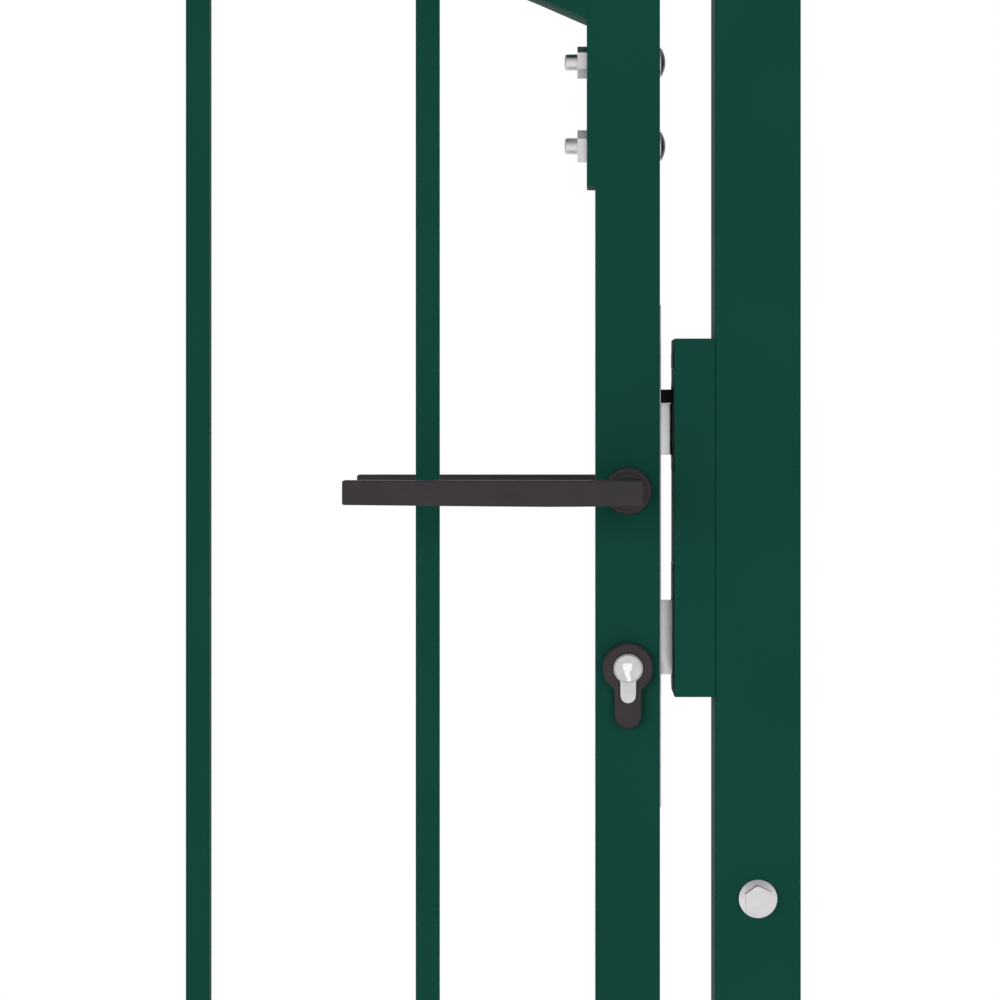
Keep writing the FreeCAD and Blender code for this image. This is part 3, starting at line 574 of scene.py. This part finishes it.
# Hinges: forged and zinc plated. A bolt through the post carries an upright pin in a round boss,
# and the leaf hangs on it by an eye bolt with a nut each side of the stile.
PIN = 0.006
BOSS = 0.011
BOSS_HIGH = 0.020
EYE = 0.013
EYE_HIGH = 0.018
EYE_GAP = 0.0003
HINGE_NUT = 0.0105
HINGE_NUT_THICK = 0.008
EYE_NUT_TURNS = (11, -7)
FORGED_ROUND = 0.001
PIN_TIP = 0.0015
PIN_FIT = 0.00006
EYE_CHAMFER = 0.0006
STEM_ROOT = 0.002
M12_PITCH = 0.00175
M12_THREAD = 0.0006
hinge_x = frame["joints"][0]["pos_m"][0]
post_low, post_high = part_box("hinge_post")
stile_low, stile_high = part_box("hinge_stile")
for which in ("lower", "upper"):
    pin_low, pin_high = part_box(which + "_hinge_pin")
    stem_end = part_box(which + "_hinge_eye")[1].x
    level = pin_low.z + HINGE_NUT
    eye_z = level + BOSS_HIGH / 2 + EYE_GAP
    middle = eye_z + EYE_HIGH / 2
    side = BOSS - FORGED_ROUND
    boss = turned([(0, 0), (side, 0), *arc((side, FORGED_ROUND), FORGED_ROUND, -90, 0, 4),
                   *arc((side, BOSS_HIGH - FORGED_ROUND), FORGED_ROUND, 0, 90, 4),
                   (0, BOSS_HIGH)])
    boss = lay(boss, "z", (hinge_x, 0, level - BOSS_HIGH / 2))
    pin_top = pin_high.z - level
    pin = turned([(0, 0), (PIN, 0), (PIN, pin_top - PIN_TIP), (PIN - PIN_TIP, pin_top),
                  (0, pin_top)])
    pin = lay(pin, "z", (hinge_x, 0, level))
    reach = hinge_x - post_high.x
    neck = lay(turned([(0, 0), (PIN, 0), (PIN, reach), (0, reach)]), "x", (post_high.x, 0, level))
    collar = lay(hexagon(HINGE_NUT, HINGE_NUT_THICK / 2), "x", (post_high.x, 0, level))
    nut = lay(hexagon(HINGE_NUT, HINGE_NUT_THICK), "-x", (post_low.x, 0, level))
    end = lay(threaded(PIN, post_low.x - pin_low.x, M12_PITCH, M12_THREAD), "-x",
              (post_low.x, 0, level))
    finish_piece(joined(boss, pin, neck, collar, nut, end), which + "_gudgeon", "posts",
                 zinc, [which + "_hinge_pin"])
    bore = PIN + PIN_FIT
    side = EYE - FORGED_ROUND
    ring = turned([(bore, EYE_CHAMFER), (bore + EYE_CHAMFER, 0), (side, 0),
                   *arc((side, FORGED_ROUND), FORGED_ROUND, -90, 0, 4),
                   *arc((side, EYE_HIGH - FORGED_ROUND), FORGED_ROUND, 0, 90, 4),
                   (bore + EYE_CHAMFER, EYE_HIGH), (bore, EYE_HIGH - EYE_CHAMFER),
                   (bore, EYE_CHAMFER)])
    ring = lay(ring, "z", (hinge_x, 0, eye_z))
    stem_from = hinge_x + EYE - STEM_ROOT
    stem = threaded(PIN, stem_end - stem_from, M12_PITCH, M12_THREAD)
    stem = lay(stem, "x", (stem_from, 0, middle))
    outer = hexagon(HINGE_NUT, HINGE_NUT_THICK, EYE_NUT_TURNS[0])
    outer = lay(outer, "-x", (stile_low.x, 0, middle))
    inner = hexagon(HINGE_NUT, HINGE_NUT_THICK, EYE_NUT_TURNS[1])
    inner = lay(inner, "x", (stile_high.x, 0, middle))
    finish_piece(joined(ring, stem, outer, inner), which + "_eye_bolt", "leaf", zinc,
                 [which + "_hinge_eye"])

# Welds: a small fillet runs round each bar where it meets the rails, laid before the coat, so
# that it is green too. The bead is a little uneven along its length.
BEAD = 0.0014
BEAD_WAVE = 0.0004
BEAD_GRAIN = 0.003
BEAD_CUTS = 6
bead_noise = bpy.data.textures.new("bead_noise", "CLOUDS")
bead_noise.noise_scale = BEAD_GRAIN


def bead_round(x, z, side, slope):
    """A weld bead round a square bar, tilted to the rail's slope."""
    bpy.ops.object.select_all(action="DESELECT")
    bpy.ops.mesh.primitive_torus_add(major_segments=4, minor_segments=10,
                                     major_radius=side / 2 * math.sqrt(2), minor_radius=BEAD,
                                     rotation=(0, 0, math.radians(45)))
    bead = bpy.context.object
    bpy.ops.object.transform_apply(location=True, rotation=True, scale=True)
    open_piece(bead, "FACE", everything)
    bpy.ops.mesh.subdivide(number_cuts=BEAD_CUTS)
    close_piece()
    bead.rotation_euler = (0, -slope, 0)
    bead.location = (x, 0, z)
    bpy.ops.object.transform_apply(location=True, rotation=True, scale=True)
    wave = bead.modifiers.new("wave", "DISPLACE")
    wave.texture = bead_noise
    wave.texture_coords = "GLOBAL"
    wave.strength = BEAD_WAVE
    bpy.ops.object.modifier_apply(modifier=wave.name)
    return bead


arch_middle = (rail_low.x + rail_high.x) / 2
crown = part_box("bar_4")[1].z
rail_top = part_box("bottom_rail")[1].z
beads = []
for name in bars:
    low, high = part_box(name)
    x, side = (low.x + high.x) / 2, high.x - low.x
    run = abs(x - arch_middle)
    slope = 2 * math.atan2(crown - high.z, run) if run > side else 0
    slope = math.copysign(slope, arch_middle - x)
    beads.append(bead_round(x, high.z - abs(math.tan(slope)) * side / 2, side, slope))
    beads.append(bead_round(x, rail_top, side, 0))
finish_piece(joined(*beads), "bar_welds", "leaf", powder_coat)

# Lock: a steel case slid into the stile behind a long narrow faceplate, which two countersunk
# screws hold. Latch and dead bolt are ground steel, pale and silky with fine marks along them, and
# a black guide block moves with the latch.
FACE_EDGE = 0.0005
SCREW = 0.0036
SCREW_THICK = 0.0005
SCREW_BEVEL = 0.0002
SCREW_SINK = 0.0003
SCREW_INSET = 0.011
SCREW_CROSS = 0.0018
CROSS_HALF = 0.0004
CROSS_FLOOR = 0.0001
CROSS_TURNS = (20, 110)
GUIDE_EDGE = 0.0007
GRIND = 0.5
GRIND_ALONG = 0.08
GRIND_HEIGHT = 0.0000025
coat(nodes["lock_case"], zinc)
face_low, face_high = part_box("lock_faceplate")
forend = merged_copy("lock_faceplate", "lock_forend")
round_edges(forend, FACE_EDGE)
finish_piece(forend, "lock_forend", "leaf", zinc, ["lock_faceplate"])
screws = []
for z in (face_low.z + SCREW_INSET, face_high.z - SCREW_INSET):
    screw = turned([(0, 0), (SCREW - 2 * SCREW_BEVEL, 0), (SCREW, SCREW_BEVEL),
                    (SCREW - SCREW_BEVEL, SCREW_THICK), (0, SCREW_THICK)])
    for turn in CROSS_TURNS:
        cross = block((-SCREW_CROSS, -CROSS_HALF, CROSS_FLOOR),
                      (SCREW_CROSS, CROSS_HALF, 2 * SCREW_THICK))
        cross.rotation_euler = (0, 0, math.radians(turn))
        meet(screw, cross, "DIFFERENCE")
    screws.append(lay(screw, "x", (face_high.x - SCREW_SINK, 0, z)))
finish_piece(joined(*screws), "forend_screws", "leaf", zinc)
for node, name, body, edge, dark, light in (
        ("latch_bolt", "latch", "latch", 0.0004, "#DEE0E2", "#EAECEE"),
        ("dead_bolt", "dead_bolt_bar", "lock_bolt", 0.0003, "#D4D6D7", "#E2E4E5")):
    ground_steel, tree, shader, place = new_finish(
        "ground_steel_" + node, metallic=1, roughness=0.38)
    along = add_node(tree, "ShaderNodeMapping",
                     inputs={"Vector": place, "Scale": (GRIND_ALONG, 1, 1)})
    marks = add_node(tree, "ShaderNodeTexNoise",
                     inputs={"Vector": along.outputs[0], "Scale": 1000 / GRIND, "Detail": 2})
    shade = add_node(tree, "ShaderNodeMix", data_type="RGBA",
                     inputs={0: marks.outputs[0], 6: linear(dark), 7: linear(light)})
    bump = add_node(tree, "ShaderNodeBump",
                    inputs={"Height": marks.outputs[0], "Distance": GRIND_HEIGHT, "Strength": 1})
    tree.links.new(shade.outputs[2], shader.inputs["Base Color"])
    tree.links.new(bump.outputs[0], shader.inputs["Normal"])
    bolt = merged_copy(node, name)
    round_edges(bolt, edge)
    finish_piece(bolt, name, body, ground_steel, [node])
guide = merged_copy("latch_guide", "latch_guide_block")
round_edges(guide, GUIDE_EDGE)
finish_piece(guide, "latch_guide_block", "latch", black_plastic,
             ["latch_guide"])

# Levers: die-cast and square in section. Each is a neck that stands out from its round rosette and
# a straight grip with softened edges, its underside slightly bowed. The satin lacquer sprayed on
# them is dark grey with a warm cast and a soft shine.
GRIP = 0.012
GRIP_EDGE = 0.0009
BELLY = 0.72
THIN_TIP = 0.0009
THIN_ROOT = 0.0004
BOW_CURVE = 1.2
BOW_CUTS = 8
ROOT = 0.0086
ROOT_GAP = 0.0002
ROOT_EDGE = 0.0009
ROSETTE = 0.011
ROSETTE_THICK = 0.005
ROSETTE_EDGE = 0.0016
ROSETTE_EYE = 0.0083
LACQUER_DARK, LACQUER_LIGHT = "#2E2A2D", "#383336"
MIST = 11.11
SKIN = 0.9091
SKIN_HEIGHT = 0.000008
dark_coat, tree, shader, place = new_finish(
    "satin_dark_lacquer", metallic=0, roughness=0.5, level=0.2)
mist = add_node(tree, "ShaderNodeTexNoise",
                inputs={"Vector": place, "Scale": 1000 / MIST, "Detail": 3})
shade = add_node(tree, "ShaderNodeMix", data_type="RGBA",
                 inputs={0: mist.outputs[0], 6: linear(LACQUER_DARK), 7: linear(LACQUER_LIGHT)})
skin = add_node(tree, "ShaderNodeTexNoise",
                inputs={"Vector": place, "Scale": 1000 / SKIN, "Detail": 1})
bump = add_node(tree, "ShaderNodeBump",
                inputs={"Height": skin.outputs[0], "Distance": SKIN_HEIGHT, "Strength": 1})
tree.links.new(shade.outputs[2], shader.inputs["Base Color"])
tree.links.new(bump.outputs[0], shader.inputs["Normal"])
spindle_low, spindle_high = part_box("spindle")
lock_x = (spindle_low.x + spindle_high.x) / 2
handle_z = (spindle_low.z + spindle_high.z) / 2
coat(nodes["spindle"], zinc)
stile_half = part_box("lock_stile")[1].y
for side, way in (("front", -1), ("rear", 1)):
    outward = "-y" if way < 0 else "y"
    lever_low, lever_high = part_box(side + "_lever")
    outer_y = lever_low.y if way < 0 else lever_high.y
    inner_y = outer_y - way * GRIP
    half = GRIP / 2
    tip_x, neck_x, end_x = lever_low.x, lock_x - half, lock_x + half
    grip = block((tip_x, min(outer_y, inner_y), handle_z - half),
                 (end_x, max(outer_y, inner_y), handle_z + half))
    cuts = [tip_x + (neck_x - tip_x) * n / BOW_CUTS for n in range(1, BOW_CUTS + 1)]
    for x in cuts:
        open_piece(grip, "FACE", everything)
        bpy.ops.mesh.bisect(plane_co=(x, 0, 0), plane_no=(1, 0, 0))
        close_piece()
    for x in (tip_x, *cuts, end_x):
        along = (x - tip_x) / (end_x - tip_x)
        if along < BELLY:
            lift = THIN_TIP * (1 - along / BELLY) ** BOW_CURVE
        else:
            lift = THIN_ROOT * (along - BELLY) / (1 - BELLY)
        open_piece(grip, "VERT", lambda p: abs(p.x - x) < HAIR and p.z < handle_z)
        bpy.ops.transform.translate(value=(0, 0, lift))
        close_piece()
    open_piece(grip, "FACE",
               lambda middle, normal: middle.x > neck_x and normal.y * way < -UPRIGHT)
    rosette_y = way * (stile_half + ROSETTE_THICK)
    neck = rosette_y - inner_y
    bpy.ops.mesh.extrude_region_move(TRANSFORM_OT_translate={"value": (0, neck, 0)})
    close_piece()
    round_edges(grip, GRIP_EDGE, 4)
    root = turned([(0, ROOT_GAP), (ROOT, ROOT_GAP),
                   *arc((ROOT - ROOT_EDGE, ROOT_GAP + ROOT_EDGE), ROOT_EDGE, 0, 90, 4),
                   (0, ROOT_GAP + 2 * ROOT_EDGE), (0, ROOT_GAP)])
    root = lay(root, outward, (lock_x, rosette_y, handle_z))
    finish_piece(joined(grip, root), side + "_handle", "handle", dark_coat,
                 [side + "_lever"])
    disc = turned([(ROSETTE_EYE, 0), (ROSETTE, 0),
                   *arc((ROSETTE - ROSETTE_EDGE, ROSETTE_THICK - ROSETTE_EDGE), ROSETTE_EDGE,
                        0, 90, 6),
                   (ROSETTE_EYE, ROSETTE_THICK), (ROSETTE_EYE, 0)], 64)
    finish_piece(lay(disc, outward, (lock_x, way * stile_half, handle_z)),
                 side + "_round_rosette", "leaf", dark_coat,
                 [side + "_handle_rosette"])

# Cylinder: a profile cylinder of brass runs right through the stile, framed on each side by a
# keyhole-shaped rosette. Its round plug is slotted for the key. Brushed nickel plate is a soft pale
# grey with faint upright lines, and in the slot, where no brush comes, it is bright.
GUARD_EDGE = 0.0014
GUARD_LEG = 0.0128
HEAD_EDGE = 0.0005
LEG = 0.0074
FIT = 0.0001
EYE_CUT = 0.1
EYE_CUT_FROM = 0.01
PLUG_BORE = 0.0064
PLUG_EDGE = 0.0002
KEYWAY = ((-0.0024, 0.0024), (0.0018, 0.0024), (0.0018, -0.0007), (0.0007, -0.0014),
          (0.0007, -0.0026), (0.0013, -0.0040), (0.0013, -0.0059), (-0.0004, -0.0059),
          (-0.0005, -0.0046), (-0.0011, -0.0034), (-0.0017, -0.0024), (-0.0017, -0.0010),
          (-0.0024, -0.0005))
KEYWAY_DEPTH = 0.0007
WARD_LIFT = 0.0003
NICKEL_DARK, NICKEL_LIGHT = "#C2C2C4", "#D8D8DA"
BRIGHT_DARK, BRIGHT_LIGHT = "#F2F2F2", "#FDFDFD"
PLATE_CLOUD = 2.857
BRIGHT_CLOUD = 1.667
BRUSH = 0.4
BRUSH_UPRIGHT = 0.15
BRUSH_HEIGHT = 0.000003
nickel, tree, shader, place = new_finish("satin_nickel_plate", metallic=1, roughness=0.42)
cloud = add_node(tree, "ShaderNodeTexNoise",
                 inputs={"Vector": place, "Scale": 1000 / PLATE_CLOUD, "Detail": 3})
shade = add_node(tree, "ShaderNodeMix", data_type="RGBA",
                 inputs={0: cloud.outputs[0], 6: linear(NICKEL_DARK), 7: linear(NICKEL_LIGHT)})
brush = add_node(tree, "ShaderNodeMapping",
                 inputs={"Vector": place, "Scale": (1, 1, BRUSH_UPRIGHT)})
lines = add_node(tree, "ShaderNodeTexNoise",
                 inputs={"Vector": brush.outputs[0], "Scale": 1000 / BRUSH, "Detail": 1})
bump = add_node(tree, "ShaderNodeBump",
                inputs={"Height": lines.outputs[0], "Distance": BRUSH_HEIGHT, "Strength": 1})
tree.links.new(shade.outputs[2], shader.inputs["Base Color"])
tree.links.new(bump.outputs[0], shader.inputs["Normal"])
bright_nickel, tree, shader, place = new_finish("bright_nickel_plate", metallic=1, roughness=0.1)
cloud = add_node(tree, "ShaderNodeTexNoise",
                 inputs={"Vector": place, "Scale": 1000 / BRIGHT_CLOUD, "Detail": 2})
shade = add_node(tree, "ShaderNodeMix", data_type="RGBA",
                 inputs={0: cloud.outputs[0], 6: linear(BRIGHT_DARK), 7: linear(BRIGHT_LIGHT)})
tree.links.new(shade.outputs[2], shader.inputs["Base Color"])


def keyhole(radius, leg, drop, steps=12):
    """The outline of a profile cylinder about its axis: a round head with a round-ended leg."""
    start = -math.degrees(math.acos(leg / 2 / radius))
    head = arc((0, 0), radius, start, 180 - start, 3 * steps)
    return head + arc((0, leg / 2 - drop), leg / 2, 180, 360, steps)


def pressed(outline, thick, y, way):
    """A solid with this outline in X and Z about the cylinder's axis, from Y out by its way."""
    bpy.ops.object.select_all(action="DESELECT")
    bpy.ops.mesh.primitive_circle_add(vertices=len(outline), radius=SEED, fill_type="NGON")
    piece = bpy.context.object
    for point, (x, z) in zip(piece.data.vertices, outline):
        point.co = (lock_x + x, y, key_z + z)
    open_piece(piece, "FACE", everything)
    bpy.ops.mesh.extrude_region_move(TRANSFORM_OT_translate={"value": (0, way * thick, 0)})
    bpy.ops.mesh.select_all(action="SELECT")
    bpy.ops.mesh.normals_make_consistent(inside=False)
    close_piece()
    return piece


plug_low, plug_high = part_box("cylinder_plug")
body_low, body_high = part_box("cylinder_body")
key_z = (plug_low.z + plug_high.z) / 2
head_radius = (body_high.x - body_low.x) / 2
body_drop = key_z - body_low.z
body_long = body_high.y - body_low.y
for side, way in (("front", -1), ("rear", 1)):
    low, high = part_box(side + "_cylinder_rosette")
    guard = pressed(keyhole((high.x - low.x) / 2, GUARD_LEG, key_z - low.z), high.y - low.y,
                    way * stile_half, way)
    round_edges(guard, GUARD_EDGE, 4)
    eye = pressed(keyhole(head_radius + FIT, LEG + 2 * FIT, body_drop + FIT), EYE_CUT,
                  -way * EYE_CUT_FROM, way)
    meet(guard, eye, "DIFFERENCE")
    finish_piece(guard, side + "_keyhole_rosette", "leaf", dark_coat,
                 [side + "_cylinder_rosette"])
cylinder = pressed(keyhole(head_radius, LEG, body_drop), body_long, body_low.y, 1)
round_edges(cylinder, HEAD_EDGE)
bore = turned([(0, 0), (PLUG_BORE, 0), (PLUG_BORE, 2 * body_long), (0, 2 * body_long)], 64)
meet(cylinder, lay(bore, "y", (lock_x, -body_long, key_z)), "DIFFERENCE")
finish_piece(cylinder, "profile_cylinder", "leaf", nickel, ["cylinder_body"])
plug_radius = (plug_high.x - plug_low.x) / 2
plug_long = plug_high.y - plug_low.y
plug = turned([(0, 0), (plug_radius - PLUG_EDGE, 0), (plug_radius, PLUG_EDGE),
               (plug_radius, plug_long - PLUG_EDGE), (plug_radius - PLUG_EDGE, plug_long),
               (0, plug_long)], 64)
plug = lay(plug, "y", (lock_x, plug_low.y, key_z))
wards = []
for face_y, way in ((plug_low.y, -1), (plug_high.y, 1)):
    keyway = [(-way * x, z) for x, z in KEYWAY]
    floor_y = face_y - way * KEYWAY_DEPTH
    meet(plug, pressed(keyway, 3 * KEYWAY_DEPTH, floor_y, way), "DIFFERENCE")
    wards.append(pressed(keyway, WARD_LIFT, floor_y, way))
finish_piece(plug, "key_plug", "plug", nickel, ["cylinder_plug"])
finish_piece(joined(*wards), "keyway_wards", "plug", bright_nickel)

# Keep: sheet steel folded to a box and welded to the post, coated with it. Black moulded pads
# stand a little proud in its strike face, windowed where latch and dead bolt enter.
KEEP_WALL = 0.002
KEEP_FOLD = 0.0007
PAD_EDGE = 0.0006
PAD_PROUD = 0.0004
PAD_FIT = 0.0001
PLAY = 0.0012
PADS = ((0.9570, 0.9651), (0.9088, 0.9509), (0.8072, 0.8663))
keep_low, keep_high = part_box("keep")
insert_low, insert_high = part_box("keep_insert")
keep = block(keep_low, keep_high)
soften(keep, lambda *ends: min(p.x for p in ends) < keep_low.x + HAIR, KEEP_FOLD, 4)
wall = Vector((KEEP_WALL, KEEP_WALL, KEEP_WALL))
meet(keep, block(keep_low + wall, keep_high + Vector((wall.x, -wall.y, -wall.z))), "DIFFERENCE")
pad_x = keep_low.x - PAD_PROUD
pads = []
for low_z, high_z in PADS:
    low_z, high_z = max(low_z, insert_low.z), min(high_z, insert_high.z)
    window = block((keep_low.x - KEEP_WALL, insert_low.y - PAD_FIT, low_z - PAD_FIT),
                   (keep_low.x + 2 * KEEP_WALL, insert_high.y + PAD_FIT, high_z + PAD_FIT))
    meet(keep, window, "DIFFERENCE")
    pad = block((pad_x, insert_low.y, low_z), (insert_high.x, insert_high.y, high_z))
    soften(pad, lambda *ends: all(p.x < pad_x + HAIR for p in ends), PAD_EDGE)
    for node, top_node in (("latch_bolt", "latch_guide"), ("dead_bolt", "dead_bolt")):
        bolt_low, bolt_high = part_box(node)
        if low_z < bolt_low.z < high_z:
            hole = block((insert_low.x - KEEP_WALL, bolt_low.y - PLAY, bolt_low.z - PLAY),
                         (insert_high.x + KEEP_WALL, bolt_high.y + PLAY,
                          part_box(top_node)[1].z + PLAY))
            meet(pad, hole, "DIFFERENCE")
    pads.append(pad)
finish_piece(keep, "folded_keep", "posts", powder_coat, ["keep"])
finish_piece(joined(*pads), "strike_pads", "posts", black_plastic,
             ["keep_insert"])
